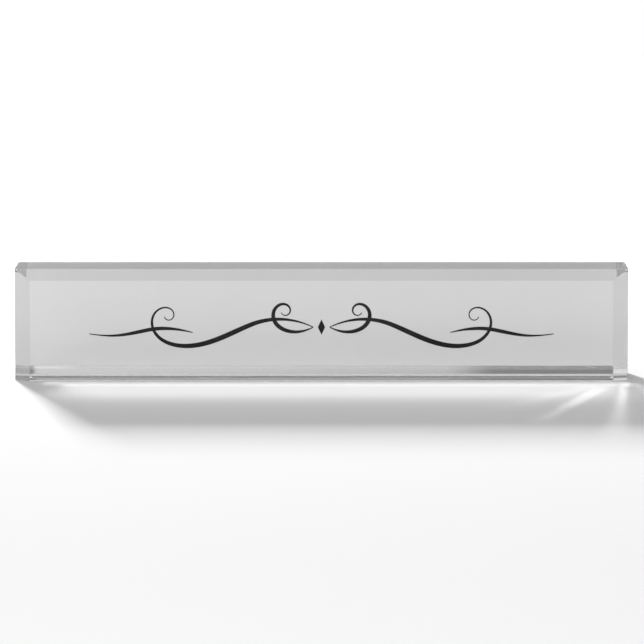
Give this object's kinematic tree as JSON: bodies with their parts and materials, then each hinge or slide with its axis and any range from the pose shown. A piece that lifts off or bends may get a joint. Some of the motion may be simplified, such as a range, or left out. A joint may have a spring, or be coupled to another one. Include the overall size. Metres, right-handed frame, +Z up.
{
  "type": "desk name plate",
  "caption": "Free-standing clear acrylic block with bevelled front and back edges and a plain grey print bonded to its back, for showing a name on a desk.",
  "frame": {"origin": "on the desk, under the middle of the plate's bounding box", "axes": "+X along the plate's length, to the right as seen from the front; +Y from the front face to the back; +Z up"},
  "size_m": [0.25, 0.0328, 0.0457],
  "materials": {
    "clear_acrylic": "clear, polished",
    "clear_adhesive": "clear",
    "grey_print": "satin print",
    "white_backing": "matte white"
  },
  "bodies": {
    "root": {"acrylic_block": "clear_acrylic", "adhesive_film": "clear_adhesive", "printed_film": "grey_print", "backing_film": "white_backing"}
  },
  "joints": []
}
